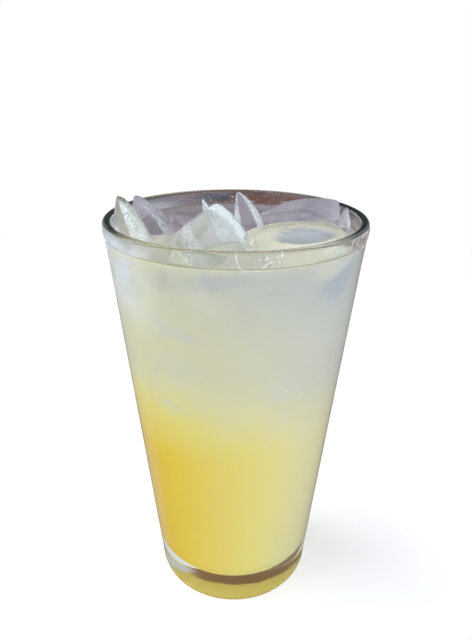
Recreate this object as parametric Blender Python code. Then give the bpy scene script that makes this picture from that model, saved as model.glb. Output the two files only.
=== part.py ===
"""A straight-sided glass of iced lemonade, in metres.

+Z is up and the origin is the centre of the foot, on the table. The large slab of ice that lies
level against the wall is at the front, which faces -Y.
"""

import math

import bmesh
import bpy
from mathutils import Vector

MM = 0.001

# The glass: the common tall bar tumbler, 3 1/2 inches over the rim and 5 7/8 high.
GLASS_HEIGHT = 149.0 * MM
RIM_RADIUS = 44.5 * MM
FOOT_RADIUS = 30.2 * MM
RIM_WALL = 2.8 * MM
FOOT_WALL = 5.6 * MM
FLOOR_THICKNESS = 10.5 * MM
INNER_CORNER = 10.0 * MM
HEEL_CORNER = 3.5 * MM
LIP_BEAD = 0.35 * MM
LIP_BEAD_HEIGHT = 7.0 * MM
PUNT_DEPTH = 1.6 * MM
PUNT_RADIUS = 23.0 * MM
GLASS_SEGMENTS = 64

# The drink is level, and climbs the last few millimetres to the wall.
DRINK_LEVEL = 142.5 * MM
MENISCUS_RISE = 1.3 * MM
MENISCUS_WIDTH = 3.0 * MM
DRINK_SEGMENTS = 64

# Pieces that touch keep the gap. The room for the ice is a little wider, because it has facets.
GAP = 0.3 * MM
ICE_ROOM = 0.45 * MM
ABOVE_RIM = 20.0 * MM

# The ice: half-moons with a flat face, a rounded back and two sharp tips, all partly melted.
TIP_THICKNESS = 1.6 * MM
TIP_CAP = 0.2 * MM
TIP_NARROWING = 0.16
SECTION_SQUARENESS = 3.2
STATIONS = 12
SECTION_POINTS = 14

# Each piece: (name, the tips at both ends of its flat face, the way its back faces, how far the
# back and the face bulge, its width), with the lengths in mm.
ICE_PIECES = [
    ("ice_left_fin", (-36.8, -10.0, 156.6), (-24.0, -20.0, 124.0), (-1.0, 0.0, -0.2), 5.3, 3.6, 14.0),
    ("ice_back_left", (-34.5, 9.0, 152.8), (-18.0, 1.0, 123.0), (-1.0, 0.0, -0.3), 6.5, 4.5, 20.0),
    ("ice_back_middle", (-21.5, 15.0, 145.5), (-13.5, -7.0, 145.5), (-0.2, 0.0, -1.0), 5.0, 1.2, 8.0),
    ("ice_centre", (-10.9, -28.8, 155.1), (4.5, -31.0, 130.0), (-0.55, 0.62, -0.55), 10.0, 1.0, 29.0),
    ("ice_tall", (0.6, 9.0, 154.8), (9.0, 3.0, 126.0), (1.0, 0.0, 0.3), 5.2, 3.7, 10.0),
    ("ice_right_front", (4.0, -28.0, 146.6), (34.0, -15.5, 147.4), (0.0, 0.15, -1.0), 9.0, 1.2, 26.0),
    ("ice_right_back", (8.8, 17.0, 142.0), (37.0, 11.5, 148.2), (0.0, 0.6, -0.8), 9.0, 3.0, 14.0),
    ("ice_right_edge", (38.0, 4.0, 150.6), (34.0, -2.0, 128.0), (1.0, 0.0, 0.0), 2.2, 1.0, 9.0),
    ("ice_chip", (-12.0, 13.0, 151.0), (-5.0, 9.0, 134.0), (-1.0, 0.0, 0.0), 1.2, 1.0, 4.5),
]

# A piece that lies against another is cut to clear it.
NEIGHBOURS = {"ice_back_middle": "ice_back_left", "ice_right_front": "ice_centre"}


def clear_scene():
    for old in list(bpy.data.objects):
        bpy.data.objects.remove(old)


def principled(name, colour, roughness, transmission, ior):
    material = bpy.data.materials.new(name)
    material.use_nodes = True
    shader = material.node_tree.nodes["Principled BSDF"]
    shader.inputs["Base Color"].default_value = (*colour, 1.0)
    shader.inputs["Roughness"].default_value = roughness
    shader.inputs["Metallic"].default_value = 0.0
    shader.inputs["Transmission Weight"].default_value = transmission
    shader.inputs["IOR"].default_value = ior
    return material


def place(name, shape, material=None):
    """An object from a bmesh, its faces turned outwards."""
    bmesh.ops.recalc_face_normals(shape, faces=shape.faces)
    mesh = bpy.data.meshes.new(name)
    shape.to_mesh(mesh)
    shape.free()
    if material:
        mesh.materials.append(material)
    placed = bpy.data.objects.new(name, mesh)
    bpy.context.scene.collection.objects.link(placed)
    return placed


def smooth(placed, sharp_degrees):
    placed.data.shade_smooth()
    placed.data.set_sharp_from_angle(angle=math.radians(sharp_degrees))


def make_cutter(placed):
    placed.hide_render = True
    placed.display_type = "WIRE"
    return placed


def add_boolean(placed, cutter, operation):
    boolean = placed.modifiers.new(operation.lower() + "_" + cutter.name, "BOOLEAN")
    boolean.operation = operation
    boolean.solver = "EXACT"
    boolean.object = cutter


def arc(centre, radius, start, end, steps):
    """Points (r, z) along an arc, its angles in degrees from +r towards +z."""
    points = []
    for i in range(steps + 1):
        angle = math.radians(start + (end - start) * i / steps)
        points.append((centre[0] + radius * math.cos(angle), centre[1] + radius * math.sin(angle)))
    return points


def outer_radius(z):
    """The outside of the straight wall, with the slight bead that stiffens the rim."""
    cone = FOOT_RADIUS + (RIM_RADIUS - FOOT_RADIUS) * z / GLASS_HEIGHT
    into_bead = 1.0 - (GLASS_HEIGHT - z) / LIP_BEAD_HEIGHT
    return cone + LIP_BEAD * math.sin(math.pi * max(0.0, into_bead))


def inner_radius(z):
    share = z / GLASS_HEIGHT
    cone = FOOT_RADIUS + (RIM_RADIUS - FOOT_RADIUS) * share
    return cone - (FOOT_WALL + (RIM_WALL - FOOT_WALL) * share)


def bowl_profile(clearance):
    """The floor of the glass from its middle up its rounded corner, this far inside the glass."""
    floor = FLOOR_THICKNESS + clearance
    corner = INNER_CORNER - clearance
    middle = (inner_radius(floor + corner) - clearance - corner, floor + corner)
    return [(0.0, floor)] + arc(middle, corner, -90.0, -5.0, 7)


def turn(profile, segments):
    """A closed shape turned from an outline of (r, z) points that starts and ends on the axis."""
    shape = bmesh.new()
    rings = []
    for r, z in profile:
        count = segments if r > 0.0 else 1
        angles = [2.0 * math.pi * i / segments for i in range(count)]
        rings.append([shape.verts.new((r * math.cos(a), r * math.sin(a), z)) for a in angles])
    for lower, upper in zip(rings, rings[1:]):
        for i in range(segments):
            ends = (i, (i + 1) % segments)
            corners = [lower[k % len(lower)] for k in ends]
            corners += [upper[k % len(upper)] for k in reversed(ends)]
            shape.faces.new(dict.fromkeys(corners))
    return shape


def make_glass():
    """The wall from the hollow under the foot, round the heel and over the lip to the floor."""
    hollow = [(PUNT_RADIUS * i / 5, PUNT_DEPTH * (1.0 - (i / 5) ** 2)) for i in range(6)]
    heel = outer_radius(HEEL_CORNER) - HEEL_CORNER
    heights = [GLASS_HEIGHT * share for share in (0.35, 0.7)]
    heights += [GLASS_HEIGHT - LIP_BEAD_HEIGHT * share for share in (1.0, 0.75, 0.5, 0.3)]
    lip = RIM_WALL / 2.0
    lip_middle = (inner_radius(GLASS_HEIGHT) + lip, GLASS_HEIGHT - lip)
    profile = hollow
    profile += arc((heel, HEEL_CORNER), HEEL_CORNER, -90.0, -5.0, 6)
    profile += [(outer_radius(z), z) for z in heights]
    profile += arc(lip_middle, lip, 0.0, 180.0, 8)
    profile += [(inner_radius(GLASS_HEIGHT * share), GLASS_HEIGHT * share) for share in (0.75, 0.4)]
    profile += reversed(bowl_profile(0.0))
    clear = principled("clear_glass", (0.93, 0.97, 0.95), 0.02, 1.0, 1.5)
    smooth(place("glass", turn(profile, GLASS_SEGMENTS), clear), 40.0)


def make_drink(rooms):
    """The drink from the floor to its level, cut round the ice that stands in it."""
    top = DRINK_LEVEL + MENISCUS_RISE
    edge = inner_radius(top) - GAP
    heights = [GLASS_HEIGHT * share for share in (0.4, 0.75)]
    profile = bowl_profile(GAP)
    profile += [(inner_radius(z) - GAP, z) for z in heights]
    for i in range(6):
        share = i / 5
        rise = MENISCUS_RISE * (1.0 - share) ** 2
        profile.append((edge - MENISCUS_WIDTH * share, DRINK_LEVEL + rise))
    profile += [(edge * share, DRINK_LEVEL) for share in (0.66, 0.33, 0.0)]
    lemonade = principled("lemonade", (0.84, 0.78, 0.42), 0.15, 0.0, 1.34)
    drink = place("drink", turn(profile, DRINK_SEGMENTS), lemonade)
    smooth(drink, 40.0)
    for room in rooms:
        add_boolean(drink, room, "DIFFERENCE")


def make_bore():
    """The space inside the wall, which the ice can't leave, carried on above the rim."""
    wall = bowl_profile(GAP)
    wall.append((inner_radius(GLASS_HEIGHT) - GAP, GLASS_HEIGHT))
    wall.append((inner_radius(GLASS_HEIGHT) - GAP, GLASS_HEIGHT + ABOVE_RIM))
    wall.append((0.0, GLASS_HEIGHT + ABOVE_RIM))
    return make_cutter(place("bore", turn(wall, GLASS_SEGMENTS)))


def superellipse(angle, exponent):
    """A point of a rounded square of half-side 1."""
    c, s = math.cos(angle), math.sin(angle)
    x = math.copysign(abs(c) ** (2.0 / exponent), c)
    return x, math.copysign(abs(s) ** (2.0 / exponent), s)


def crescent(tips, back, back_bulge, face_bulge, width):
    """A half-moon of ice: rounded sections across the line between its tips, thinning to both."""
    first, last = (Vector(tip) * MM for tip in tips)
    middle = (first + last) / 2.0
    along = (last - first).normalized()
    outward = (Vector(back) - Vector(back).dot(along) * along).normalized()
    across = outward.cross(along)
    half = (last - first).length / 2.0
    arc_radius = (half ** 2 + back_bulge ** 2) / (2.0 * back_bulge)
    shape = bmesh.new()
    rings = []
    for i in range(STATIONS):
        x = -math.cos(math.pi * (i + 0.5) / STATIONS) * half
        share = 1.0 - (x / half) ** 2
        skin = TIP_THICKNESS / 2.0 * math.sqrt(share)
        behind = math.sqrt(arc_radius ** 2 - x ** 2) - (arc_radius - back_bulge) + skin
        before = face_bulge * share + skin
        side = width / 2.0 * (1.0 - TIP_NARROWING * (1.0 - share)) * share ** 0.125
        ring = []
        for k in range(SECTION_POINTS):
            y, z = superellipse(2.0 * math.pi * (k + 0.5) / SECTION_POINTS, SECTION_SQUARENESS)
            height = z * (behind + before) / 2.0 + (behind - before) / 2.0
            ring.append(shape.verts.new(middle + along * x + across * y * side + outward * height))
        rings.append(ring)
    for lower, upper in zip(rings, rings[1:]):
        for k in range(SECTION_POINTS):
            j = (k + 1) % SECTION_POINTS
            shape.faces.new((lower[k], lower[j], upper[j], upper[k]))
    for ring, way in ((rings[0], -1.0), (rings[-1], 1.0)):
        end = sum((vert.co for vert in ring), Vector()) / SECTION_POINTS
        cap = shape.verts.new(end + along * TIP_CAP * way)
        for k in range(SECTION_POINTS):
            shape.faces.new((ring[k], ring[(k + 1) % SECTION_POINTS], cap))
    return shape


def grown(shape, by):
    """The same shape with each point moved out along its normal."""
    bmesh.ops.recalc_face_normals(shape, faces=shape.faces)
    shape.normal_update()
    for vert, normal in [(vert, vert.normal.copy()) for vert in shape.verts]:
        vert.co += normal * by
    return shape


def make_ice(bore):
    """Every piece of ice. Returns the room that each takes from the drink and its neighbour."""
    ice = principled("ice", (0.95, 0.97, 0.97), 0.03, 1.0, 1.31)
    rooms = {}
    for name, first, last, back, *sizes in ICE_PIECES:
        back_bulge, face_bulge, width = (size * MM for size in sizes)
        form = ((first, last), back, back_bulge, face_bulge, width)
        piece = place(name, crescent(*form), ice)
        smooth(piece, 50.0)
        add_boolean(piece, bore, "INTERSECT")
        if name in NEIGHBOURS:
            add_boolean(piece, rooms[NEIGHBOURS[name]], "DIFFERENCE")
        rooms[name] = make_cutter(place("room_" + name, grown(crescent(*form), ICE_ROOM)))
    return list(rooms.values())


def main():
    clear_scene()
    make_glass()
    rooms = make_ice(make_bore())
    make_drink(rooms)


main()
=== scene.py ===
"""The looks of a glass of iced lemonade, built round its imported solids. Lengths are in metres."""

import math
import random

import bmesh
import bpy
from mathutils import Matrix, Vector, noise


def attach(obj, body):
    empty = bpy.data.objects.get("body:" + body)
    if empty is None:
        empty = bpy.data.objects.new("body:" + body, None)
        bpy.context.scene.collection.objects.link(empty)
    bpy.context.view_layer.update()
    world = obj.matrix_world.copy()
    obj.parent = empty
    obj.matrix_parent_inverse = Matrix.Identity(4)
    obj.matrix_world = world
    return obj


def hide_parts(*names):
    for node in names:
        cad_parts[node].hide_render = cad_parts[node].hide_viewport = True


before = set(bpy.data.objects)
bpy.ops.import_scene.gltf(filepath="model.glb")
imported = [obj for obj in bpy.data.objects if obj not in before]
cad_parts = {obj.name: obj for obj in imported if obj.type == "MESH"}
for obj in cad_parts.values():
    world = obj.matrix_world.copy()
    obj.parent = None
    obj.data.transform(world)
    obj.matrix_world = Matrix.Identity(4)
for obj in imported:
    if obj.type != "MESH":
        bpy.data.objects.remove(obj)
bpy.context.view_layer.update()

MM = 0.001

# The glass and the drink, as the solids have them.
GLASS_HEIGHT = 149.0 * MM
RIM_RADIUS = 44.5 * MM
FOOT_RADIUS = 30.2 * MM
RIM_WALL = 2.8 * MM
FOOT_WALL = 5.6 * MM
FLOOR_THICKNESS = 10.5 * MM
INNER_CORNER = 10.0 * MM
HEEL_CORNER = 3.5 * MM
LIP_BEAD = 0.35 * MM
LIP_BEAD_HEIGHT = 7.0 * MM
PUNT_DEPTH = 1.6 * MM
PUNT_RADIUS = 23.0 * MM
DRINK_LEVEL = 142.5 * MM
MENISCUS_RISE = 1.3 * MM
MENISCUS_WIDTH = 3.0 * MM
ABOVE_RIM = 20.0 * MM

# The drink reaches this far into the wall, and the ice this far into the drink, so no air shows.
INTO_WALL = 0.15 * MM
INTO_DRINK = 0.15 * MM
ICE_GAP = 0.3 * MM
NEIGHBOUR_GAP = 0.45 * MM

# How finely the turned pieces are drawn: the count round and along each stretch, and the spacing up
# the walls. The arcs of the two corners end at these angles in degrees, where the wall takes over.
TURNED_SEGMENTS = 256
PUNT_STEPS = 24
HEEL_STEPS = 16
CORNER_STEPS = 24
LIP_STEPS = 20
MENISCUS_STEPS = 16
LEVEL_STEPS = 20
WALL_SPACING = 8.0 * MM
BEAD_SPACING = 0.6 * MM
DRINK_SPACING = 1.2 * MM
INNER_WALL = (28.0 * MM, 146.0 * MM)
HEEL_TO_WALL = -5.0
CORNER_TO_WALL = -4.0

# Edges sharper than these, in degrees, stay crisp.
ICE_CREASE = 50.0
DRINK_CREASE = 40.0

# Points this close are one. Faces of the drink this near its level or over it, and facing up at
# least this much, are its top.
WELD_DISTANCE = 0.0001 * MM
LEVEL_SLACK = 0.01 * MM
FACING_UP = 0.3

# The ice, as the solids have it: name, tips, the way its back faces, bulges and width in mm.
TIP_THICKNESS = 1.6 * MM
TIP_CAP = 0.2 * MM
TIP_NARROWING = 0.16
TIP_BLUNTNESS = 0.125
SECTION_SQUARENESS = 3.2
ICE_STATIONS = 72
ICE_SECTION_POINTS = 96
ICE_PIECES = [
    ("ice_left_fin", (-36.8, -10.0, 156.6), (-24.0, -20.0, 124.0), (-1.0, 0.0, -0.2), 5.3, 3.6, 14.0),
    ("ice_back_left", (-34.5, 9.0, 152.8), (-18.0, 1.0, 123.0), (-1.0, 0.0, -0.3), 6.5, 4.5, 20.0),
    ("ice_back_middle", (-21.5, 15.0, 145.5), (-13.5, -7.0, 145.5), (-0.2, 0.0, -1.0), 5.0, 1.2, 8.0),
    ("ice_centre", (-10.9, -28.8, 155.1), (4.5, -31.0, 130.0), (-0.55, 0.62, -0.55), 10.0, 1.0, 29.0),
    ("ice_tall", (0.6, 9.0, 154.8), (9.0, 3.0, 126.0), (1.0, 0.0, 0.3), 5.2, 3.7, 10.0),
    ("ice_right_front", (4.0, -28.0, 146.6), (34.0, -15.5, 147.4), (0.0, 0.15, -1.0), 9.0, 1.2, 26.0),
    ("ice_right_back", (8.8, 17.0, 142.0), (37.0, 11.5, 148.2), (0.0, 0.6, -0.8), 9.0, 3.0, 14.0),
    ("ice_right_edge", (38.0, 4.0, 150.6), (34.0, -2.0, 128.0), (1.0, 0.0, 0.0), 2.2, 1.0, 9.0),
    ("ice_chip", (-12.0, 13.0, 151.0), (-5.0, 9.0, 134.0), (-1.0, 0.0, 0.0), 1.2, 1.0, 4.5),
]
NEIGHBOURS = {"ice_back_middle": "ice_back_left", "ice_right_front": "ice_centre"}

# The long waves and short ripples of melting: how high, and the scale of their noise.
MELT_WAVE = (0.30 * MM, 130.0)
MELT_RIPPLE = (0.16 * MM, 420.0)

# Kinds of ice: tint and how milky it is from 0 to 1. The dark plum tint of the deep kind is a painted
# reflection of the dark room.
ICE_KINDS = {
    "warm": ((0.87, 0.87, 0.79), 0.15),
    "grey": ((0.79, 0.83, 0.88), 0.15),
    "cool": ((0.80, 0.79, 0.85), 0.15),
    # Painted reflection: the dark plum stands in for the dark room seen in this ice.
    "deep": ((0.74, 0.69, 0.74), 0.06),
}
ICE_KIND_OF = {
    "ice_left_fin": "warm",
    "ice_back_left": "cool",
    "ice_back_middle": "deep",
    "ice_centre": "grey",
    "ice_tall": "cool",
    "ice_right_front": "warm",
    "ice_right_back": "cool",
    "ice_right_edge": "cool",
    "ice_chip": "cool",
}

# Where fine bubbles cloud the ice: the piece, how strongly, and ranges along it, across it and from
# its flat face to its back, each from -1 to 1.
ICE_BUBBLES = [
    ("ice_left_fin", 1.0, (-0.80, 1.3), (-0.2, 1.3), (-1.3, -0.25)),
    ("ice_back_left", 0.7, (-0.90, 1.3), (-1.3, 1.3), (-1.3, -0.78)),
    ("ice_back_left", 0.5, (-1.3, 0.0), (-1.3, 1.3), (0.70, 1.3)),
    ("ice_centre", 1.0, (-1.3, 0.60), (-1.3, -0.62), (-1.3, 1.3)),
    ("ice_centre", 0.4, (-1.0, 0.20), (0.55, 0.80), (-1.3, 0.0)),
    ("ice_tall", 1.0, (-1.3, 1.3), (-1.3, 1.3), (-1.3, -0.55)),
    ("ice_tall", 1.0, (-1.3, 1.3), (-1.3, 1.3), (0.60, 1.3)),
    ("ice_right_front", 0.55, (-0.90, 0.75), (0.74, 0.80), (-1.3, 0.0)),
    ("ice_right_front", 0.35, (-0.70, 0.90), (-0.95, -0.85), (-1.3, 0.0)),
    ("ice_right_back", 0.35, (-0.90, 0.90), (0.80, 1.0), (-1.3, 0.6)),
    ("ice_right_edge", 0.6, (-1.3, 0.6), (-1.3, 1.3), (0.2, 1.3)),
    ("ice_chip", 0.7, (-1.3, 1.3), (-1.3, 1.3), (-1.3, 1.3)),
]

# Those bubbles: how far their ranges fade, their colour, how white they make the ice and how rough.
BUBBLES_FADE = 0.14
BUBBLES_COLOUR = (0.84, 0.96, 0.98)
BUBBLES_WHITENING = 0.72
BUBBLES_RELIEF = 0.8

# The dish melted into the top of one piece: its middle and half size along and across, its depth,
# its tint, which is a painted reflection of a blue-grey sky, its haze, and how quickly they come in
# from its edge.
DISHED_PIECE = "ice_right_front"
DISH_MIDDLE = (0.08, 0.18)
DISH_HALF = (0.66, 0.45)
DISH_DEPTH = 1.3 * MM
DISH_REFLECTION_TINT = (0.34, 0.39, 0.49)
DISH_HAZE = 0.22
DISH_EDGE = 1.6

# Ice pressed on the wall, which looks milky: how near it is, and its tint and haze.
PRESSED_GAP = 0.7 * MM
PRESSED_TINT = (0.66, 0.65, 0.53)
PRESSED_HAZE = 0.65

# How clear the ice is at most and at least, how it bends light, the light that comes through it, and
# how high its finest ripples are.
ICE_CLEAR = (0.98, 0.1)
ICE_IOR = 1.31
ICE_SHADE = (0.97, 0.98, 0.98)
ICE_BUMP = 0.25 * MM

# Here and below, a NOISE is its scale, detail and, where that isn't 0.5, roughness. A RANGE is the
# part of the noise that counts and, where that isn't 0 to 1, what it is carried to.
HAZE_NOISE = (95.0, 3.0)
HAZE_RANGE = (0.30, 0.70)
HAZE_LEAST = 0.4
CLOUD_NOISE = (300.0, 4.0, 0.6)
CLOUD_RANGE = (0.30, 0.56, 0.35, 1.0)
WETNESS_NOISE = (180.0, 3.0)
WETNESS_RANGE = (0.45, 0.8, 0.01, 0.12)
RIPPLE_NOISE = (420.0, 3.0)
BEAD_SCALE = 1350.0
BEAD_RANGE = (0.20, 0.65, 1.0, 0.5)

# The wet edge of the middle piece on the wall: angles from the front in degrees and heights in mm,
# its width, how thin its ends are and how far it stands out for its width, how finely it is drawn,
# and how strong its beads are with the scale of their noise.
WET_EDGE = [
    (-0.2, 148.3), (0.1, 147.2), (0.5, 146.0), (0.9, 145.0), (1.6, 144.1),
    (2.8, 143.5), (5.0, 143.2), (9.0, 143.1), (15.0, 143.1),
]
WET_EDGE_THICKNESS = 0.55 * MM
WET_EDGE_THINNEST = 0.45
WET_EDGE_HEIGHT = 0.9
WET_EDGE_STEPS = 8
WET_EDGE_SIDES = 12
WET_EDGE_BEADS = (0.4, 900.0)

# The melt water of that edge and of the droplets, whitish where not clear: a painted highlight.
WATER_TINT_AND_HIGHLIGHT = (0.96, 0.98, 0.99)
WATER_SHADE = (0.98, 0.99, 0.99)
WATER_CLEAR = 0.75
WATER_ROUGHNESS = 0.03
WATER_IOR = 1.33

# Droplets on the wall: whether inside, angles from the front, heights in mm, count, widths in mm.
# How tall and how deep they are for their width follows.
DROPLETS = [
    (True, (7.0, 18.0), (143.9, 146.8), 26, (0.25, 0.75)),
    (True, (-22.0, -16.0), (144.5, 147.0), 5, (0.2, 0.4)),
    (True, (150.0, 215.0), (144.0, 147.5), 34, (0.2, 0.5)),
    (False, (48.0, 84.0), (143.0, 148.0), 40, (0.2, 0.55)),
    (False, (-84.0, -55.0), (141.0, 147.5), 26, (0.2, 0.45)),
    (False, (-60.0, -30.0), (122.0, 140.0), 16, (0.2, 0.4)),
    (False, (20.0, 34.0), (98.0, 108.0), 4, (0.3, 0.5)),
]
DROPLET_RUN = (0.9, 1.6)
DROPLET_FLATNESS = 0.5
DROPLET_SEED = 11

# Marks on the drink where sunk ice lies against the wall: the angle from the front towards +X in
# degrees, the height, half length and half width in mm, the slope in degrees and the strength. They
# are paler below these heights than above, grainy, and ragged at the edge by noise of two scales.
SUNK_MARKS = [
    (-11.0, 138.2, 20.0, 4.2, 10.0, 0.45),
    (-27.0, 140.3, 7.0, 2.2, 8.0, 0.30),
    (49.0, 134.5, 11.0, 9.0, 20.0, 0.90),
    (-52.0, 134.5, 10.0, 8.0, 0.0, 0.30),
    (-29.0, 121.6, 15.0, 2.8, -16.0, 0.50),
    (-33.0, 92.6, 9.0, 1.8, -14.0, 0.60),
    (24.0, 101.0, 10.0, 8.0, 10.0, 0.35),
    (-29.0, 107.5, 12.0, 8.0, 0.0, 0.28),
    (11.0, 134.6, 10.0, 1.4, 12.0, 0.30),
    (35.0, 118.0, 9.0, 10.0, 30.0, 0.22),
    (110.0, 132.0, 12.0, 5.0, 15.0, 0.36),
    (150.0, 120.0, 10.0, 7.0, -20.0, 0.28),
    (-120.0, 126.0, 12.0, 5.0, 25.0, 0.36),
    (-160.0, 136.0, 10.0, 5.0, -10.0, 0.36),
    (-95.0, 108.0, 9.0, 7.0, 10.0, 0.25),
    (180.0, 100.0, 11.0, 6.0, 20.0, 0.25),
    (75.0, 112.0, 9.0, 6.0, -15.0, 0.25),
]
SUNK_LOW = (0.540, 0.550, 0.560)
SUNK_HIGH = (0.345, 0.390, 0.445)
SUNK_HEIGHTS = (124.0 * MM, 131.0 * MM)
SUNK_GRAIN_NOISE = (380.0, 4.0, 0.6)
SUNK_GRAIN_RANGE = (0.30, 0.62, 0.55, 1.0)
MARK_FADE = 0.85
MARK_RAGGED = [(0.35, 170.0), (0.25, 420.0)]

# The dark line where the drink meets the wall, which is painted shade.
WATERLINE = (143.2 * MM, 143.7 * MM)
WATERLINE_SHADE = (0.16, 0.145, 0.08)
WATERLINE_ON_TOP = 0.8

# The lip, where the glass is seen edge on and so looks dark, painted here as shade: its height,
# and its tints in front and at the sides, which are painted shade.
LIP_TOP = (147.9 * MM, 148.4 * MM)
LIP_SHADE_FRONT = (0.72, 0.69, 0.52)
LIP_SHADE_SIDE = (0.0012, 0.0030, 0.0032)

# Clear glass: its tint, the light that comes through it and how it bends light.
GLASS_TINT = (0.965, 0.985, 0.975)
GLASS_SHADE = (0.95, 0.97, 0.96)
GLASS_IOR = 1.5

# The colours of the drink, from melt water to syrup, by how strong it is from 0 to 1.
STRENGTH_COLOURS = [
    (0.00, (0.425, 0.447, 0.450)),
    (0.10, (0.518, 0.530, 0.482)),
    (0.20, (0.588, 0.575, 0.425)),
    (0.35, (0.645, 0.615, 0.370)),
    (0.55, (0.692, 0.620, 0.222)),
    (0.65, (0.706, 0.602, 0.172)),
    (0.75, (0.720, 0.572, 0.126)),
    (0.88, (0.722, 0.528, 0.060)),
    (1.00, (0.720, 0.462, 0.045)),
]

# The strength in the middle, and how it changes from there to +X, at the top and at the foot. That
# change is painted light: the drink is more golden to -X, where light falls from that side. It goes
# from one to the other between two heights, which drift, and melt water thins the top further.
PALE_ABOVE = 109.5 * MM
STRONG_BELOW = 66.5 * MM
MELT_LEVELS = (112.0 * MM, 140.0 * MM)
STRENGTH_AND_SIDE_LIGHT_TOP = (0.20, -0.13)
MELT_THINNING = 0.09
STRENGTH_AND_SIDE_LIGHT_FOOT = (0.66, -0.41)
DRIFT = 24.0 * MM
DRIFT_NOISE = (26.0, 2.0)

# How cloudy the drink is, and how far light of each colour wanders in it.
DRINK_CLOUD = 0.5
DRINK_REACH = 4.0 * MM
DRINK_REACH_BY_COLOUR = (1.0, 0.8, 0.45)
DRINK_ROUGHNESS = 0.6
DRINK_IOR = 1.34

# The mist on the upper wall: the heights where it begins and ends, how far round it begins, how it
# changes from left to right, its colour, and how cloudy, rough and patchy it is.
MIST_BEGINS = (112.0 * MM, 134.0 * MM)
MIST_ENDS = (144.5 * MM, 147.5 * MM)
MIST_SIDES = (0.45, 0.85)
MIST_TURN = (-0.3, 0.3)
MIST_LEFT = 1.3
MIST_RIGHT = 0.25
MIST_COLOUR = (0.80, 0.87, 0.98)
MIST_CLOUD = 0.38
MIST_ROUGHNESS = 0.25
MIST_NOISE = (130.0, 5.0, 0.6)
MIST_RANGE = (0.25, 0.75, 0.35, 1.0)

# The top of the drink: pale in front, and plum at the back, a painted reflection of the room behind.
# The hollows that the ice lies in are painted brighter: painted light where they lie in shade.
SURFACE_FRONT = (0.465, 0.455, 0.365)
SURFACE_BACK_REFLECTION = (0.215, 0.188, 0.208)
SURFACE_TURN = (-14.0 * MM, 16.0 * MM)
HOLLOW_HEIGHTS = (141.6 * MM, 142.4 * MM)
HOLLOW_PAINTED_LIGHT = (1.28, 1.28, 1.28)
SURFACE_NOISE = (90.0, 3.0)
SURFACE_RAGGED = 16.0 * MM
SURFACE_WETNESS = (0.2, 0.8, 0.02, 0.07)
SURFACE_WAVE_NOISE = (110.0, 1.0)
SURFACE_WAVE = 0.3 * MM

# The glass floor mirrors the underside of the drink: gold, with a dark patch at the back, a painted
# reflection of brown surroundings, and a pale one at the back left, a painted highlight. A patch has a
# middle, how far it is whole and where it ends, and a colour.
UNDERSIDE_HEIGHT = 11.9 * MM
UNDERSIDE_GOLD = (1.0, 0.79, 0.23)
UNDERSIDE_PAINTED_LIGHT = [
    ((1.2 * MM, 11.5 * MM, 0.0), 9.0 * MM, 11.8 * MM, (0.37, 0.23, 0.11)),
    ((-14.0 * MM, 14.0 * MM, 0.0), 6.3 * MM, 8.0 * MM, (0.92, 0.92, 0.96)),
]
UNDERSIDE_RAGGED = 6.0 * MM
UNDERSIDE_NOISE = (220.0, 2.0)

# What the glass bends or mirrors is a room: a way, where a patch begins and is full as the cosine
# of the angle from that way, and its light.
ROOM_LOW = (0.26, 0.21, 0.19)
ROOM_HIGH = (0.64, 0.68, 0.82)
ROOM_TURN = (-0.3, 0.7)
ROOM_PATCHES = [
    ((-0.60, 0.65, -0.45), 0.86, 0.96, (0.40, 0.41, 0.45)),
    ((0.0, -0.96, 0.12), 0.72, 0.90, (0.09, 0.10, 0.10)),
    ((-0.90, 0.10, 0.10), 0.70, 0.92, (0.70, 0.72, 0.80)),
    ((-0.45, 0.55, 0.70), 0.84, 0.94, (0.20, 0.14, 0.12)),
    ((0.50, 0.50, 0.70), 0.82, 0.93, (0.85, 0.90, 1.0)),
    ((-0.90, -0.05, 0.55), 0.86, 0.94, (1.6, 1.7, 1.9)),
    ((0.10, -0.70, 0.70), 0.86, 0.96, (1.2, 1.2, 1.2)),
    ((-0.30, -0.15, 0.94), 0.985, 0.993, (5.0, 5.0, 5.0)),
    ((0.0, 0.96, 0.28), 0.86, 0.95, (0.08, 0.08, 0.08)),
]

# The wall of the room behind: brown, paler to the left, with dark patches and pale streaks.
WALL_WAY = (0.0, 0.85, -0.50)
WALL_EDGE = (0.87, 0.94)
WALL_BROWN = (0.165, 0.085, 0.070)
WALL_DARK = (0.050, 0.050, 0.065)
WALL_DARK_NOISE = (9.0, 3.0)
WALL_DARK_RANGE = (0.50, 0.60)
WALL_STREAK = (0.34, 0.29, 0.36)
WALL_STREAK_NOISE = (26.0, 2.0)
WALL_STREAK_RANGE = (0.56, 0.66)
WALL_LILAC = (0.26, 0.25, 0.31)
WALL_LEFT_RANGE = (-0.12, 0.02, 0.6, 0.0)

# The floor, which turns from pale to pure white between these distances from the glass.
FLOOR_RADIUS = 6.0
FLOOR_SEGMENTS = 96
FLOOR_COLOUR = (0.95, 0.95, 0.95)
FLOOR_WHITENS = (0.12, 0.60)
WHITE = (1.0, 1.0, 1.0)

# The studio lamps: name, place, width in metres, watts.
LAMPS = [
    ("key", (-0.5, 0.25, 0.8), 0.5, 2.9),
    ("fill", (0.1, -0.8, 0.5), 0.6, 2.35),
    ("right", (0.8, -0.25, 0.45), 0.5, 1.9),
]

# The camera stood close to the glass, above the rim, when the photo was taken.
CAMERA_PLACE = (0.0003, -0.1881, 0.1931)
CAMERA_PITCH = 23.93
CAMERA_ROLL = 0.49
FOCAL_PIXELS = 560.1
FRAME_PIXELS = 640.0
SENSOR_HEIGHT = 24.0
CAMERA_NEAREST = 0.01


def unit(vector):
    return Vector(vector).normalized()


def link(placed):
    bpy.context.scene.collection.objects.link(placed)
    return placed


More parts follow.
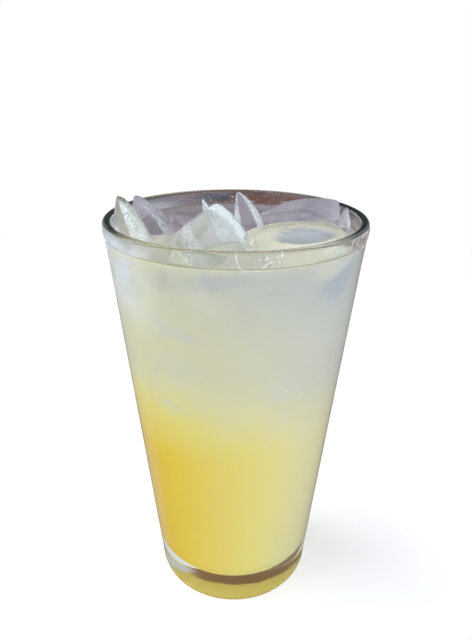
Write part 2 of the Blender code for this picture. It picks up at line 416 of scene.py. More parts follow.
def object_from(name, shape):
    """A smooth-shaded object from a bmesh."""
    mesh = bpy.data.meshes.new(name)
    shape.to_mesh(mesh)
    shape.free()
    mesh.shade_smooth()
    return link(bpy.data.objects.new(name, mesh))


def apply_modifiers(placed):
    """The object with its modifiers worked into its mesh."""
    graph = bpy.context.evaluated_depsgraph_get()
    mesh = bpy.data.meshes.new_from_object(placed.evaluated_get(graph))
    placed.modifiers.clear()
    placed.data = mesh
    return placed


def boolean(placed, cutter, operation):
    modifier = placed.modifiers.new(operation, "BOOLEAN")
    modifier.operation = operation
    modifier.solver = "MANIFOLD"
    modifier.object = cutter
    return apply_modifiers(placed)


class Nodes:
    """A material's or the world's node tree, with short ways to add to it."""

    def __init__(self, owner):
        owner.use_nodes = True
        self.tree = owner.node_tree
        self.tree.nodes.clear()

    def add(self, kind, inputs=None, **settings):
        made = self.tree.nodes.new(kind)
        for name, value in settings.items():
            setattr(made, name, value)
        for name, value in (inputs or {}).items():
            self.feed(made.inputs[name], value)
        return made

    def feed(self, socket, value):
        """Links an output to the socket, or sets its value. A colour may be given without its alpha."""
        if isinstance(value, bpy.types.NodeSocket):
            self.tree.links.new(value, socket)
        elif socket.type == "RGBA" and len(value) == 3:
            socket.default_value = (*value, 1.0)
        else:
            socket.default_value = value

    def where(self):
        return self.add("ShaderNodeTexCoord").outputs["Object"]

    def axis(self, vector, name):
        return self.add("ShaderNodeSeparateXYZ", {"Vector": vector}).outputs[name]

    def painted(self, name):
        """What was painted on the points of the mesh under this name."""
        return self.add("ShaderNodeAttribute", attribute_name=name).outputs["Fac"]

    def maths(self, operation, *values):
        return self.add("ShaderNodeMath", dict(enumerate(values)), operation=operation).outputs[0]

    def vector(self, operation, *values):
        return self.add("ShaderNodeVectorMath", dict(enumerate(values)), operation=operation).outputs

    def spread(self, value, low, high, to_low=0.0, to_high=1.0):
        """The value carried smoothly from one range to another, and held at its ends."""
        names = {"Value": value, "From Min": low, "From Max": high, "To Min": to_low, "To Max": to_high}
        return self.add("ShaderNodeMapRange", names, interpolation_type="SMOOTHSTEP").outputs["Result"]

    def either_side(self, share, span):
        """A share from 0 to 1 as a distance from minus half the span to plus half of it."""
        return self.maths("MULTIPLY_ADD", share, span, -span / 2.0)

    def blend(self, share, first, second, blend_type="MIX"):
        made = self.add("ShaderNodeMix", data_type="RGBA", blend_type=blend_type)
        self.feed(made.inputs["Factor"], share)
        self.feed(made.inputs[6], first)
        self.feed(made.inputs[7], second)
        return made.outputs[2]

    def ramp(self, value, stops):
        made = self.add("ShaderNodeValToRGB", {"Fac": value})
        elements = made.color_ramp.elements
        for i, (place, colour) in enumerate(stops):
            stop = elements[i] if i < 2 else elements.new(place)
            stop.position = place
            stop.color = (*colour, 1.0)
        return made.outputs["Color"]

    def noise(self, where, scale, detail=2.0, roughness=0.5):
        inputs = {"Vector": where, "Scale": scale, "Detail": detail, "Roughness": roughness}
        return self.add("ShaderNodeTexNoise", inputs).outputs["Fac"]

    def bump(self, height, distance):
        return self.add("ShaderNodeBump", {"Height": height, "Distance": distance}).outputs["Normal"]

    def principled(self, inputs):
        return self.add("ShaderNodeBsdfPrincipled", inputs).outputs[0]

    def clear_for_lamps(self, shader, tint):
        """The shader for the camera, and a plain clear film for rays that come from lamps."""
        path = self.add("ShaderNodeLightPath").outputs
        lamp = self.maths("MAXIMUM", path["Is Shadow Ray"], path["Is Diffuse Ray"])
        film = self.add("ShaderNodeBsdfTransparent", {"Color": tint}).outputs[0]
        return self.add("ShaderNodeMixShader", {0: lamp, 1: shader, 2: film}).outputs[0]

    def finish(self, shader, kind="ShaderNodeOutputMaterial"):
        self.add(kind, {"Surface": shader})


def glass_material():
    """Clear glass, faintly green, painted dark at the lip as shade, and misted at the sides under it.
    """
    nodes = Nodes(material := bpy.data.materials.new("clear_glass"))
    where = nodes.where()
    z = nodes.axis(where, "Z")
    level = nodes.vector("MULTIPLY", where, (1.0, 1.0, 0.0))[0]
    across = nodes.axis(nodes.vector("NORMALIZE", level)[0], "X")
    side = nodes.spread(nodes.maths("ABSOLUTE", across), *MIST_SIDES)
    cold = nodes.maths("MULTIPLY", nodes.spread(z, *MIST_BEGINS), nodes.spread(z, *MIST_ENDS, 1.0, 0.0))
    patchy = nodes.spread(nodes.noise(where, *MIST_NOISE), *MIST_RANGE)
    uneven = nodes.maths("MULTIPLY", patchy, nodes.spread(across, *MIST_TURN, MIST_LEFT, MIST_RIGHT))
    mist = nodes.maths("MULTIPLY", nodes.maths("MULTIPLY", cold, side), uneven)
    # Painted shade: the lip is tinted dark, near-black at the sides, for the dark of glass seen edge
    # on.
    lip = nodes.blend(side, LIP_SHADE_FRONT, LIP_SHADE_SIDE)
    colour = nodes.blend(nodes.spread(z, *LIP_TOP), GLASS_TINT, lip)
    shader = nodes.principled({
        "Base Color": nodes.blend(mist, colour, MIST_COLOUR),
        "Transmission Weight": nodes.maths("MULTIPLY_ADD", mist, -MIST_CLOUD, 1.0),
        "Roughness": nodes.maths("MULTIPLY", mist, MIST_ROUGHNESS),
        "IOR": GLASS_IOR,
    })
    nodes.finish(nodes.clear_for_lamps(shader, GLASS_SHADE))
    return material


def drink_colour(nodes, where):
    """Pale at the top where the ice melts, golden at the foot, and stronger to -X by painted light."""
    x, z = nodes.axis(where, "X"), nodes.axis(where, "Z")
    radius = nodes.maths("MULTIPLY_ADD", z, (RIM_RADIUS - FOOT_RADIUS) / GLASS_HEIGHT, FOOT_RADIUS)
    across = nodes.maths("DIVIDE", x, radius)
    drift = nodes.either_side(nodes.noise(where, *DRIFT_NOISE), DRIFT)
    pale = nodes.spread(nodes.maths("ADD", z, drift), STRONG_BELOW, PALE_ABOVE)
    # Painted light: the slope to +X makes the drink more golden on the -X side, where light falls.
    top = nodes.maths("MULTIPLY_ADD", across, STRENGTH_AND_SIDE_LIGHT_TOP[1], STRENGTH_AND_SIDE_LIGHT_TOP[0])
    top = nodes.maths("SUBTRACT", top, nodes.spread(z, *MELT_LEVELS, 0.0, MELT_THINNING))
    foot = nodes.maths("MULTIPLY_ADD", across, STRENGTH_AND_SIDE_LIGHT_FOOT[1], STRENGTH_AND_SIDE_LIGHT_FOOT[0])
    strength = nodes.add("ShaderNodeMix", {0: pale, 2: foot, 3: top}, data_type="FLOAT").outputs[0]
    return nodes.ramp(strength, STRENGTH_COLOURS)


def underside_colour(nodes, where):
    """Gold with a painted reflection and highlight, for the mirror that the glass floor makes of it."""
    ragged = nodes.either_side(nodes.noise(where, *UNDERSIDE_NOISE), UNDERSIDE_RAGGED)
    result = UNDERSIDE_GOLD
    for middle, whole, end, colour in UNDERSIDE_PAINTED_LIGHT:
        level = nodes.vector("MULTIPLY", nodes.vector("SUBTRACT", where, middle)[0], (1.0, 1.0, 0.0))[0]
        distance = nodes.maths("ADD", nodes.vector("LENGTH", level)["Value"], ragged)
        result = nodes.blend(nodes.spread(distance, whole, end), colour, result)
    return result


def side_material():
    """The drink against the glass: cloudy, with no shine of its own under the wall."""
    nodes = Nodes(material := bpy.data.materials.new("lemonade_side"))
    where = nodes.where()
    z = nodes.axis(where, "Z")
    grain = nodes.spread(nodes.noise(where, *SUNK_GRAIN_NOISE), *SUNK_GRAIN_RANGE)
    ice = nodes.maths("MULTIPLY", nodes.painted("sunk_ice"), grain)
    sunk = nodes.blend(nodes.spread(z, *SUNK_HEIGHTS), SUNK_LOW, SUNK_HIGH)
    colour = nodes.blend(ice, drink_colour(nodes, where), sunk)
    # Painted shade: a dark line where the drink meets the wall.
    colour = nodes.blend(nodes.spread(z, *WATERLINE), colour, WATERLINE_SHADE)
    # Painted reflection and highlight on the underside, which the glass floor mirrors.
    under = nodes.maths("LESS_THAN", z, UNDERSIDE_HEIGHT)
    nodes.finish(nodes.principled({
        "Base Color": nodes.blend(under, colour, underside_colour(nodes, where)),
        "Roughness": DRINK_ROUGHNESS,
        "Specular IOR Level": 0.0,
        "Subsurface Weight": DRINK_CLOUD,
        "Subsurface Radius": DRINK_REACH_BY_COLOUR,
        "Subsurface Scale": DRINK_REACH,
    }))
    return material


def surface_material():
    """The wet top of the drink and the hollows that the ice lies in."""
    nodes = Nodes(material := bpy.data.materials.new("lemonade_surface"))
    where = nodes.where()
    z = nodes.axis(where, "Z")
    cloud = nodes.noise(where, *SURFACE_NOISE)
    turn_at = nodes.maths("ADD", nodes.axis(where, "Y"), nodes.either_side(cloud, SURFACE_RAGGED))
    # Painted reflection: the plum at the back stands in for the room mirrored in the surface.
    colour = nodes.blend(nodes.spread(turn_at, *SURFACE_TURN), SURFACE_FRONT, SURFACE_BACK_REFLECTION)
    # Painted light: the hollows below the level are brightened where they lie in shade.
    sunk = nodes.spread(z, *HOLLOW_HEIGHTS, 1.0, 0.0)
    colour = nodes.blend(sunk, colour, HOLLOW_PAINTED_LIGHT, "MULTIPLY")
    # Painted shade of the waterline, fainter on the top.
    line = nodes.maths("MULTIPLY", nodes.spread(z, *WATERLINE), WATERLINE_ON_TOP)
    nodes.finish(nodes.principled({
        "Base Color": nodes.blend(line, colour, WATERLINE_SHADE),
        "Roughness": nodes.spread(cloud, *SURFACE_WETNESS),
        "IOR": DRINK_IOR,
        "Normal": nodes.bump(nodes.noise(where, *SURFACE_WAVE_NOISE), SURFACE_WAVE),
    }))
    return material


def ice_material(kind):
    """Wet ice, clear with a milky haze, rippled where it melts, and white where bubbles cloud it."""
    nodes = Nodes(material := bpy.data.materials.new(kind + "_ice"))
    tint, milkiness = ICE_KINDS[kind]
    where = nodes.where()
    dish, pressed = nodes.painted("dish"), nodes.painted("pressed")
    cells = nodes.add("ShaderNodeTexVoronoi", {"Vector": where, "Scale": BEAD_SCALE})
    beads = nodes.spread(cells.outputs["Distance"], *BEAD_RANGE)
    cloud = nodes.spread(nodes.noise(where, *CLOUD_NOISE), *CLOUD_RANGE)
    bubbles = nodes.maths("MULTIPLY", nodes.painted("bubbles"), nodes.maths("MULTIPLY", beads, cloud))
    haze = nodes.spread(nodes.noise(where, *HAZE_NOISE), *HAZE_RANGE, HAZE_LEAST * milkiness, milkiness)
    haze = nodes.maths("MULTIPLY_ADD", dish, DISH_HAZE, haze)
    haze = nodes.maths("MULTIPLY_ADD", pressed, PRESSED_HAZE, haze)
    haze = nodes.maths("MULTIPLY_ADD", bubbles, BUBBLES_WHITENING, haze)
    most_clear, least_clear = ICE_CLEAR
    clear = nodes.maths("SUBTRACT", most_clear, haze)
    # Painted reflection: the dish is tinted blue-grey for the sky it mirrors.
    tinted = nodes.blend(pressed, nodes.blend(dish, tint, DISH_REFLECTION_TINT), PRESSED_TINT)
    relief = nodes.maths("MULTIPLY_ADD", bubbles, BUBBLES_RELIEF, nodes.noise(where, *RIPPLE_NOISE))
    shader = nodes.principled({
        "Base Color": nodes.blend(bubbles, tinted, BUBBLES_COLOUR),
        "Transmission Weight": nodes.maths("MAXIMUM", clear, least_clear),
        "Roughness": nodes.spread(nodes.noise(where, *WETNESS_NOISE), *WETNESS_RANGE),
        "IOR": ICE_IOR,
        "Normal": nodes.bump(relief, ICE_BUMP),
    })
    nodes.finish(nodes.clear_for_lamps(shader, ICE_SHADE))
    return material


def water_material():
    """The melt water that clings to the wall, whitish as a painted highlight."""
    nodes = Nodes(material := bpy.data.materials.new("clear_water"))
    # Painted highlight: the water is whitish where it is not clear.
    shader = nodes.principled({
        "Base Color": WATER_TINT_AND_HIGHLIGHT,
        "Transmission Weight": WATER_CLEAR,
        "Roughness": WATER_ROUGHNESS,
        "IOR": WATER_IOR,
    })
    nodes.finish(nodes.clear_for_lamps(shader, WATER_SHADE))
    return material


def arc(centre, radius, start, end, steps):
    """Points (r, z) along an arc, its angles in degrees from +r towards +z."""
    points = []
    for i in range(steps + 1):
        angle = math.radians(start + (end - start) * i / steps)
        points.append((centre[0] + radius * math.cos(angle), centre[1] + radius * math.sin(angle)))
    return points


def outer_radius(z):
    cone = FOOT_RADIUS + (RIM_RADIUS - FOOT_RADIUS) * z / GLASS_HEIGHT
    into_bead = 1.0 - (GLASS_HEIGHT - z) / LIP_BEAD_HEIGHT
    return cone + LIP_BEAD * math.sin(math.pi * max(0.0, into_bead))


def inner_radius(z):
    share = z / GLASS_HEIGHT
    cone = FOOT_RADIUS + (RIM_RADIUS - FOOT_RADIUS) * share
    return cone - (FOOT_WALL + (RIM_WALL - FOOT_WALL) * share)


def bowl_profile(clearance):
    """The floor of the glass from its middle up its rounded corner, this far inside the glass."""
    floor = FLOOR_THICKNESS + clearance
    corner = INNER_CORNER - clearance
    middle = (inner_radius(floor + corner) - clearance - corner, floor + corner)
    return [(0.0, floor)] + arc(middle, corner, -90.0, CORNER_TO_WALL, CORNER_STEPS)


def turn(name, profile):
    """A closed shape turned from an outline of (r, z) points that starts and ends on the axis."""
    shape = bmesh.new()
    rings = []
    for r, z in profile:
        count = TURNED_SEGMENTS if r > 0.0 else 1
        angles = [2.0 * math.pi * i / TURNED_SEGMENTS for i in range(count)]
        rings.append([shape.verts.new((r * math.cos(a), r * math.sin(a), z)) for a in angles])
    for lower, upper in zip(rings, rings[1:]):
        for i in range(TURNED_SEGMENTS):
            ends = (i, (i + 1) % TURNED_SEGMENTS)
            corners = [lower[k % len(lower)] for k in ends]
            corners += [upper[k % len(upper)] for k in reversed(ends)]
            shape.faces.new(dict.fromkeys(corners))
    bmesh.ops.recalc_face_normals(shape, faces=shape.faces)
    return object_from(name, shape)


def heights_between(low, high, step):
    """Even heights between two, about a step apart, without the two."""
    count = max(1, round((high - low) / step))
    return [low + (high - low) * (i + 1) / (count + 1) for i in range(count)]


def dress(piece):
    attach(piece, "root")
    return piece


def glass_profile():
    """The outline of the tumbler, from under its foot over the lip to the middle of its floor."""
    shares = [i / PUNT_STEPS for i in range(PUNT_STEPS + 1)]
    heel = outer_radius(HEEL_CORNER) - HEEL_CORNER
    bead_foot = GLASS_HEIGHT - LIP_BEAD_HEIGHT
    lip = RIM_WALL / 2.0
    lip_middle = (inner_radius(GLASS_HEIGHT) + lip, GLASS_HEIGHT - lip)
    wall = heights_between(2.0 * HEEL_CORNER, bead_foot, WALL_SPACING)
    wall += heights_between(bead_foot, GLASS_HEIGHT - lip, BEAD_SPACING)
    profile = [(PUNT_RADIUS * share, PUNT_DEPTH * (1.0 - share ** 2)) for share in shares]
    profile += arc((heel, HEEL_CORNER), HEEL_CORNER, -90.0, HEEL_TO_WALL, HEEL_STEPS)
    profile += [(outer_radius(z), z) for z in wall]
    profile += arc(lip_middle, lip, 0.0, 180.0, LIP_STEPS)
    profile += [(inner_radius(z), z) for z in reversed(heights_between(*INNER_WALL, WALL_SPACING))]
    return profile + bowl_profile(0.0)[::-1]


def make_glass():
    """The tumbler, turned finely from the same outline as its solid."""
    glass = turn("tumbler", glass_profile())
    glass.data.materials.append(glass_material())
    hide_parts("glass")
    dress(glass)


def join_rings(shape, rings):
    """Faces between each ring of points and the next."""
    for lower, upper in zip(rings, rings[1:]):
        for k in range(len(lower)):
            j = (k + 1) % len(lower)
            shape.faces.new((lower[k], lower[j], upper[j], upper[k]))


def superellipse(angle, exponent):
    """A point of a rounded square of half-side 1."""
    c, s = math.cos(angle), math.sin(angle)
    x = math.copysign(abs(c) ** (2.0 / exponent), c)
    return x, math.copysign(abs(s) ** (2.0 / exponent), s)


class Crescent:
    """A half-moon of ice: rounded sections across the line between its tips, thinning to both."""

    def __init__(self, first, last, back, back_bulge, face_bulge, width):
        first, last = Vector(first) * MM, Vector(last) * MM
        self.middle = (first + last) / 2.0
        self.along = (last - first).normalized()
        self.outward = (Vector(back) - Vector(back).dot(self.along) * self.along).normalized()
        self.across = self.outward.cross(self.along)
        self.half = (last - first).length / 2.0
        self.back_bulge = back_bulge * MM
        self.face_bulge = face_bulge * MM
        self.width = width * MM
        self.arc_radius = (self.half ** 2 + self.back_bulge ** 2) / (2.0 * self.back_bulge)

    def section(self, x):
        """How far it reaches behind, before and to each side at x along its line."""
        share = 1.0 - (x / self.half) ** 2
        skin = TIP_THICKNESS / 2.0 * math.sqrt(share)
        behind = math.sqrt(self.arc_radius ** 2 - x ** 2) - (self.arc_radius - self.back_bulge) + skin
        before = self.face_bulge * share + skin
        side = self.width / 2.0 * (1.0 - TIP_NARROWING * (1.0 - share)) * share ** TIP_BLUNTNESS
        return behind, before, side

    def shares(self, place):
        """Where a point lies along, across and from face to back, each from -1 to 1 inside."""
        local = place - self.middle
        furthest = 0.98 * self.half
        x = max(-furthest, min(furthest, local.dot(self.along)))
        behind, before, side = self.section(x)
        height = local.dot(self.outward) - (behind - before) / 2.0
        return x / self.half, local.dot(self.across) / side, height * 2.0 / (behind + before)

    def ring(self, x):
        """The points round its section at x along its line."""
        behind, before, side = self.section(x)
        for k in range(ICE_SECTION_POINTS):
            y, z = superellipse(2.0 * math.pi * (k + 0.5) / ICE_SECTION_POINTS, SECTION_SQUARENESS)
            height = z * (behind + before) / 2.0 + (behind - before) / 2.0
            yield self.middle + self.along * x + self.across * y * side + self.outward * height

    def shape(self):
        """The whole half-moon, its sections closer together near the tips, closed by a cap at each."""
        shape = bmesh.new()
        rings = []
        for i in range(ICE_STATIONS):
            x = -math.cos(math.pi * (i + 0.5) / ICE_STATIONS) * self.half
            rings.append([shape.verts.new(place) for place in self.ring(x)])
        join_rings(shape, rings)
        for ring, way in ((rings[0], -1.0), (rings[-1], 1.0)):
            end = sum((vert.co for vert in ring), Vector()) / ICE_SECTION_POINTS
            cap = shape.verts.new(end + self.along * TIP_CAP * way)
            for k in range(ICE_SECTION_POINTS):
                shape.faces.new((ring[k], ring[(k + 1) % ICE_SECTION_POINTS], cap))
        bmesh.ops.recalc_face_normals(shape, faces=shape.faces)
        shape.normal_update()
        return shape


def melt(shape):
    """Long waves and short ripples, as on ice that has begun to melt."""
    moves = []
    for vert in shape.verts:
        by = sum(noise.noise(vert.co * scale) * height for height, scale in (MELT_WAVE, MELT_RIPPLE))
        moves.append(vert.normal * by)
    for vert, move in zip(shape.verts, moves):
        vert.co += move


def move_out(shape, by):
    """Moves every point outward by this much."""
    for vert, normal in [(vert, vert.normal.copy()) for vert in shape.verts]:
        vert.co += normal * by


def dish_share(form, place):
    """How deep in the dish a point lies, from 0 to 1, fading from the flat face to mid-thickness."""
    along, across, through = form.shares(place)
    u = (along - DISH_MIDDLE[0]) / DISH_HALF[0]
    v = (across - DISH_MIDDLE[1]) / DISH_HALF[1]
    near_face = max(0.0, min(1.0, -2.0 * through))
    return max(0.0, 1.0 - u * u - v * v) ** 0.5 * near_face


def melt_dish(shape, form):
    """A shallow dish, melted into the flat face."""
    for vert in shape.verts:
        vert.co += form.outward * DISH_DEPTH * dish_share(form, vert.co)


def smooth(share):
    """The share held between 0 and 1 and eased at both ends."""
    held = max(0.0, min(1.0, share))
    return held * held * (3.0 - 2.0 * held)


def within(value, low, high):
    """1 inside the range, falling smoothly to 0 outside it."""
    return smooth(min(value - low, high - value) / BUBBLES_FADE + 1.0)


def bubbles_at(shares, bands):
    """How strongly bubbles cloud a place in a piece of ice, given the bands that they lie in."""
    shown = 0.0
    for strength, *band in bands:
        inside = (within(share, *limits) for share, limits in zip(shares, band))
        shown = max(shown, strength * math.prod(inside))
    return shown


def paint(placed, name, value_at):
    """Paints what value_at gives for each point of the mesh, for its material to read."""
    painted = placed.data.attributes.new(name, "FLOAT", "POINT")
    for i, vert in enumerate(placed.data.vertices):
        painted.data[i].value = value_at(vert.co)


def is_pressed(place):
    gap = inner_radius(place.z) - math.hypot(place.x, place.y)
    return float(gap < PRESSED_GAP and place.z < GLASS_HEIGHT)


def paint_ice(placed, name, form):
    """The share of bubbles, of the dish and of being pressed on the wall, over a piece of ice."""
    bands = [piece[1:] for piece in ICE_BUBBLES if piece[0] == name]
    paint(placed, "bubbles", lambda place: bubbles_at(form.shares(place), bands))
    if name == DISHED_PIECE:
        paint(placed, "dish", lambda place: min(1.0, DISH_EDGE * dish_share(form, place)))
    paint(placed, "pressed", is_pressed)


def make_bore():
    """The space inside the wall, which the ice can't leave, carried on above the rim."""
    wall = bowl_profile(ICE_GAP)
    top = inner_radius(GLASS_HEIGHT) - ICE_GAP
    wall += [(top, GLASS_HEIGHT), (top, GLASS_HEIGHT + ABOVE_RIM), (0.0, GLASS_HEIGHT + ABOVE_RIM)]
    return turn("bore", wall)


def make_ice(bore):
    """Each piece of ice in place of its solid."""
    materials = {kind: ice_material(kind) for kind in ICE_KINDS}
    forms = {piece[0]: Crescent(*piece[1:]) for piece in ICE_PIECES}
    made = {}
    for name, form in forms.items():
        shape = form.shape()
        melt(shape)
        if name == DISHED_PIECE:
            melt_dish(shape, form)
        shown = object_from("clear_" + name, shape)
        boolean(shown, bore, "INTERSECT")
        if name in NEIGHBOURS:
            room = forms[NEIGHBOURS[name]].shape()
            melt(room)
            move_out(room, NEIGHBOUR_GAP)
            cutter = object_from("room", room)
            boolean(shown, cutter, "DIFFERENCE")
            bpy.data.objects.remove(cutter)
        shown.data.shade_smooth()
        shown.data.set_sharp_from_angle(angle=math.radians(ICE_CREASE))
        shown.data.materials.clear()
        shown.data.materials.append(materials[ICE_KIND_OF[name]])
        paint_ice(shown, name, form)
        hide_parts(name)
        made[name] = dress(shown)
    return made


def on_wall(angle, height, radius):
    """A point at this angle from the front, in degrees, and this height and radius."""
    turned = math.radians(angle)
    return Vector((radius * math.sin(turned), -radius * math.cos(turned), height))


def wet_edge_path():
    """Points of the wet edge on the wall, evenly from each given one to the next."""
    path = []
    for (first, low), (last, high) in zip(WET_EDGE, WET_EDGE[1:]):
        for i in range(WET_EDGE_STEPS):
            share = i / WET_EDGE_STEPS
            height = (low + (high - low) * share) * MM
            path.append(on_wall(first + (last - first) * share, height, inner_radius(height)))
    return path


def wet_edge_ring(path, i):
    """The points round the wet edge at one point of its path, thin at both ends and beaded."""
    middle = path[i]
    way = (path[min(i + 1, len(path) - 1)] - path[max(i - 1, 0)]).normalized()
    inward = unit((-middle.x, -middle.y, 0.0))
    beside = way.cross(inward).normalized()
    bead, scale = WET_EDGE_BEADS
    swell = math.sin(math.pi * (i + 0.6) / (len(path) + 0.2)) ** 0.5
    width = WET_EDGE_THICKNESS * (WET_EDGE_THINNEST + (1.0 - WET_EDGE_THINNEST) * swell)
    width *= 1.0 + bead * noise.noise(middle * scale)
    height = width * WET_EDGE_HEIGHT
    for k in range(WET_EDGE_SIDES):
        turned = 2.0 * math.pi * k / WET_EDGE_SIDES
        yield middle + (beside * math.cos(turned) * width + inward * math.sin(turned) * height) / 2.0


def make_wet_edge(material):
    """The bright thin edge where melt water clings between the middle ice and the wall; painted
    highlight.
    """
    shape = bmesh.new()
    path = wet_edge_path()
    rings = [[shape.verts.new(place) for place in wet_edge_ring(path, i)] for i in range(len(path))]
    join_rings(shape, rings)
    shape.faces.new(rings[0])
    shape.faces.new(reversed(rings[-1]))
    bmesh.ops.recalc_face_normals(shape, faces=shape.faces)
    edge = object_from("wet_edge", shape)
    edge.data.materials.append(material)
    dress(edge)


def droplet_matrix(inside, angle, height, width, tall):
    """Where a ball of radius 1 becomes a flat droplet on the wall."""
    radius = inner_radius(height) if inside else outer_radius(height)
    turned = Matrix.Rotation(math.radians(angle), 4, "Z")
    scale = Matrix.Diagonal((width / 2.0, width * DROPLET_FLATNESS / 2.0, tall / 2.0, 1.0))
    return Matrix.Translation(on_wall(angle, height, radius)) @ turned @ scale


def make_droplets(material):
    """Droplets clinging to the wall, longer than wide where they have run."""
    chance = random.Random(DROPLET_SEED)
    shape = bmesh.new()
    for inside, angles, heights, count, sizes in DROPLETS:
        for _ in range(count):
            height = chance.uniform(*heights) * MM
            angle = chance.uniform(*angles)
            width = chance.uniform(*sizes) * MM
            tall = width * chance.uniform(*DROPLET_RUN)
            matrix = droplet_matrix(inside, angle, height, width, tall)
            bmesh.ops.create_icosphere(shape, subdivisions=2, radius=1.0, matrix=matrix)
    drops = object_from("droplets", shape)
    drops.data.materials.append(material)
    dress(drops)


def joined_cutters(ice, surface):
    """One closed shape of all the ice, a little smaller than the ice, to cut from the drink."""
    shape = bmesh.new()
    for piece in ice.values():
        shape.from_mesh(piece.data)
    bmesh.ops.remove_doubles(shape, verts=shape.verts, dist=WELD_DISTANCE)
    shape.normal_update()
    move_out(shape, -INTO_DRINK)
    cutter = object_from("ice_hollows", shape)
    cutter.data.materials.append(surface)
    return cutter


def sunk_ice_at(place):
    """How strongly sunk ice shows at a place on the drink's side, in marks with ragged edges."""
    turned = math.degrees(math.atan2(place.x, -place.y))
    radius = math.hypot(place.x, place.y)
    ragged = sum(share * noise.noise(place * scale) for share, scale in MARK_RAGGED)
    shown = 0.0
    for angle, height, half_length, half_width, slope, strength in SUNK_MARKS:
        around = math.radians((turned - angle + 180.0) % 360.0 - 180.0) * radius
        up = place.z - height * MM
        c, s = math.cos(math.radians(slope)), math.sin(math.radians(slope))
        u = (around * c + up * s) / (half_length * MM)
        v = (up * c - around * s) / (half_width * MM)
        shown = max(shown, strength * smooth((1.0 - math.hypot(u, v) - ragged) / MARK_FADE))
    return shown


def drink_profile():
    """The outline of the drink, from the middle of its floor by the wall to the middle of its top."""
    top = DRINK_LEVEL + MENISCUS_RISE
    edge = inner_radius(top) + INTO_WALL
    inner_edge = edge - MENISCUS_WIDTH
    heights = heights_between(FLOOR_THICKNESS + INNER_CORNER + MM, top, DRINK_SPACING)
    profile = bowl_profile(-INTO_WALL)
    profile += [(inner_radius(z) + INTO_WALL, z) for z in heights]
    for i in range(MENISCUS_STEPS + 1):
        share = i / MENISCUS_STEPS
        climb = MENISCUS_RISE * (1.0 - share) ** 2
        profile.append((edge - MENISCUS_WIDTH * share, DRINK_LEVEL + climb))
    profile += [(inner_edge * i / LEVEL_STEPS, DRINK_LEVEL) for i in reversed(range(LEVEL_STEPS))]
    return profile


def make_drink(ice):
    """The drink up to its level, reaching just into the wall, hollowed for the ice."""
    drink = turn("lemonade", drink_profile())
    surface = surface_material()
    drink.data.materials.append(side_material())
    drink.data.materials.append(surface)
    for face in drink.data.polygons:
        on_top = face.center.z > DRINK_LEVEL - LEVEL_SLACK and face.normal.z > FACING_UP
        face.material_index = int(on_top)
    cutter = joined_cutters(ice, surface)
    boolean(drink, cutter, "DIFFERENCE")
    bpy.data.objects.remove(cutter)
    drink.data.shade_smooth()
    drink.data.set_sharp_from_angle(angle=math.radians(DRINK_CREASE))
    paint(drink, "sunk_ice", sunk_ice_at)
    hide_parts("drink")
    dress(drink)


def wall_colour(nodes, way):
    """The brown wall behind, paler to the left, with dark patches and pale streaks."""
    dark = nodes.spread(nodes.noise(way, *WALL_DARK_NOISE), *WALL_DARK_RANGE)
    streak = nodes.spread(nodes.noise(way, *WALL_STREAK_NOISE), *WALL_STREAK_RANGE)
    left = nodes.spread(nodes.axis(way, "X"), *WALL_LEFT_RANGE)
    colour = nodes.blend(dark, WALL_BROWN, WALL_DARK)
    colour = nodes.blend(left, colour, WALL_LILAC)
    return nodes.blend(streak, colour, WALL_STREAK)


def make_world():
    """White behind the glass, and the room for every ray that the glass bends or mirrors."""
    world = bpy.data.worlds.new("room")
    bpy.context.scene.world = world
    nodes = Nodes(world)
    way = nodes.add("ShaderNodeTexCoord").outputs["Generated"]
    room = nodes.blend(nodes.spread(nodes.axis(way, "Z"), *ROOM_TURN), ROOM_LOW, ROOM_HIGH)
    for place, begins, full, colour in ROOM_PATCHES + [(WALL_WAY, *WALL_EDGE, wall_colour(nodes, way))]:
        toward = nodes.vector("DOT_PRODUCT", way, unit(place))["Value"]
        room = nodes.blend(nodes.spread(toward, begins, full), room, colour)
    seen = nodes.blend(nodes.add("ShaderNodeLightPath").outputs["Is Camera Ray"], room, WHITE)
    nodes.finish(nodes.add("ShaderNodeBackground", {"Color": seen}).outputs[0], "ShaderNodeOutputWorld")


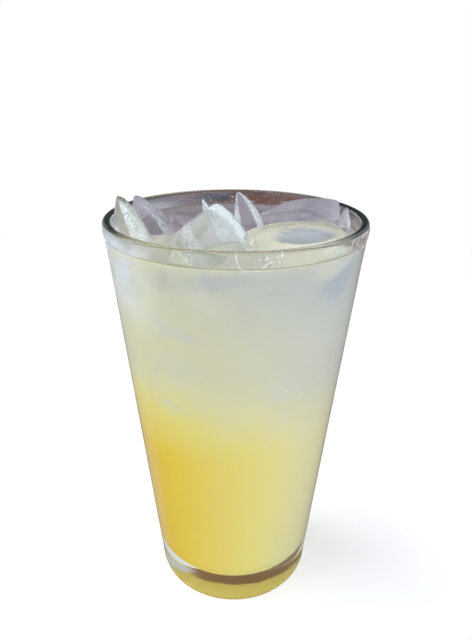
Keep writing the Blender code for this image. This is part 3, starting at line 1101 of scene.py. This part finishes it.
def floor_material():
    """Pale round the glass, and so white far out that its edge doesn't show."""
    nodes = Nodes(material := bpy.data.materials.new("pale_floor"))
    away = nodes.vector("LENGTH", nodes.where())["Value"]
    near = nodes.add("ShaderNodeBsdfDiffuse", {"Color": FLOOR_COLOUR}).outputs[0]
    far = nodes.add("ShaderNodeEmission", {"Color": WHITE}).outputs[0]
    mixed = nodes.add("ShaderNodeMixShader", {0: nodes.spread(away, *FLOOR_WHITENS), 1: near, 2: far})
    nodes.finish(mixed.outputs[0])
    return material


def make_floor():
    """A plain floor, which the glass neither shows through its foot nor mirrors."""
    bpy.ops.mesh.primitive_circle_add(vertices=FLOOR_SEGMENTS, radius=FLOOR_RADIUS, fill_type="NGON")
    floor = bpy.context.object
    floor.name = "floor"
    floor.data.materials.append(floor_material())
    floor.visible_transmission = False
    floor.visible_glossy = False


def make_lamp(name, place, size, power):
    lamp = bpy.data.lights.new(name, "AREA")
    lamp.shape = "DISK"
    lamp.size = size
    lamp.energy = power
    placed = link(bpy.data.objects.new(name, lamp))
    placed.location = place
    placed.rotation_euler = (-Vector(place)).to_track_quat("-Z", "Y").to_euler()
    placed.visible_glossy = False
    placed.visible_transmission = False


def make_camera():
    lens = bpy.data.cameras.new("camera")
    lens.sensor_fit = "VERTICAL"
    lens.sensor_height = SENSOR_HEIGHT
    lens.lens = SENSOR_HEIGHT * FOCAL_PIXELS / FRAME_PIXELS
    lens.clip_start = CAMERA_NEAREST
    camera = link(bpy.data.objects.new("camera", lens))
    tilt = Matrix.Rotation(math.radians(90.0 - CAMERA_PITCH), 4, "X")
    roll = Matrix.Rotation(math.radians(CAMERA_ROLL), 4, "Z")
    camera.matrix_world = Matrix.Translation(CAMERA_PLACE) @ tilt @ roll
    bpy.context.scene.camera = camera


def main():
    bpy.context.scene.view_settings.view_transform = "Standard"
    make_camera()
    make_world()
    make_floor()
    for lamp in LAMPS:
        make_lamp(*lamp)
    make_glass()
    bore = make_bore()
    ice = make_ice(bore)
    bpy.data.objects.remove(bore)
    make_drink(ice)
    water = water_material()
    make_wet_edge(water)
    make_droplets(water)


main()
